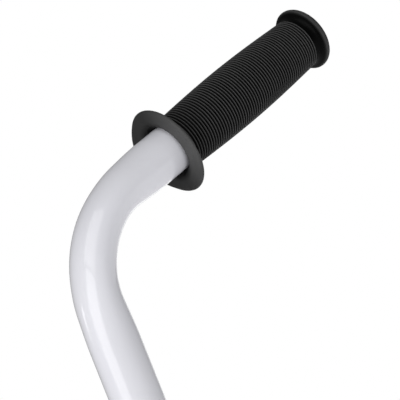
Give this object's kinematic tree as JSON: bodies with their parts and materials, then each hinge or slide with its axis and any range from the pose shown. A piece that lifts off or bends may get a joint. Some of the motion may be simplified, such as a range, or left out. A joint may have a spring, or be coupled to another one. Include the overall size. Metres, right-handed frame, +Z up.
{
  "type": "pogo stick",
  "caption": "Spring pogo stick with a bent white steel handlebar, ribbed black rubber grips, pedal footrests and a sprung plunger with a rubber foot.",
  "frame": {"origin": "centre of the rubber foot's bottom face, where the stick stands on the ground", "axes": "+Z up along the column, +X to the rider's right along the grips, +Y the way the rider faces"},
  "size_m": [0.4528, 0.076, 0.981],
  "materials": {
    "white_paint": "glossy white paint on steel",
    "grip_rubber": "satin black moulded rubber",
    "tread_rubber": "matt black rubber",
    "foot_rubber": "matt black rubber",
    "black_plastic": "finely grained black plastic",
    "nylon": "natural nylon",
    "zinc_steel": "bright zinc plate",
    "spring_steel": "zinc plated spring wire",
    "chrome_tube": "chrome plated steel"
  },
  "bodies": {
    "frame": {"column_tube": "white_paint", "handlebar_tube": "white_paint", "handlebar_stem": "white_paint", "stem_sleeve": "black_plastic", "stem_bolt": "zinc_steel", "stem_washers": "zinc_steel", "stem_nut": "zinc_steel", "grip_right": "grip_rubber", "grip_left": "grip_rubber", "footrest_hub": "white_paint", "footrest_gussets": "white_paint", "footrest_arm_right": "white_paint", "footrest_arm_left": "white_paint", "arm_end_plugs": "black_plastic", "pedal_right": "black_plastic", "pedal_left": "black_plastic", "tread_right": "tread_rubber", "tread_left": "tread_rubber", "pedal_bolts": "zinc_steel", "pedal_nuts": "zinc_steel", "lower_guide_bush": "nylon", "bush_screws": "zinc_steel", "upper_spring_seat": "zinc_steel", "rebound_bumper": "tread_rubber", "spring": "spring_steel"},
    "plunger": {"plunger_tube": "chrome_tube", "piston_guide": "nylon", "piston_pin": "zinc_steel", "rebound_washer": "zinc_steel", "rebound_pin": "zinc_steel", "spring_collar": "zinc_steel", "collar_pin": "zinc_steel", "foot_tip": "foot_rubber", "tip_plate": "zinc_steel"}
  },
  "joints": [
    {"name": "plunger_slide", "type": "slide", "parent": "frame", "child": "plunger", "axis": [0, 0, 1], "range_m": [0, 0.08], "stiffness_N_per_m": 6000, "springref_m": -0.02, "deforming": ["spring"]}
  ]
}
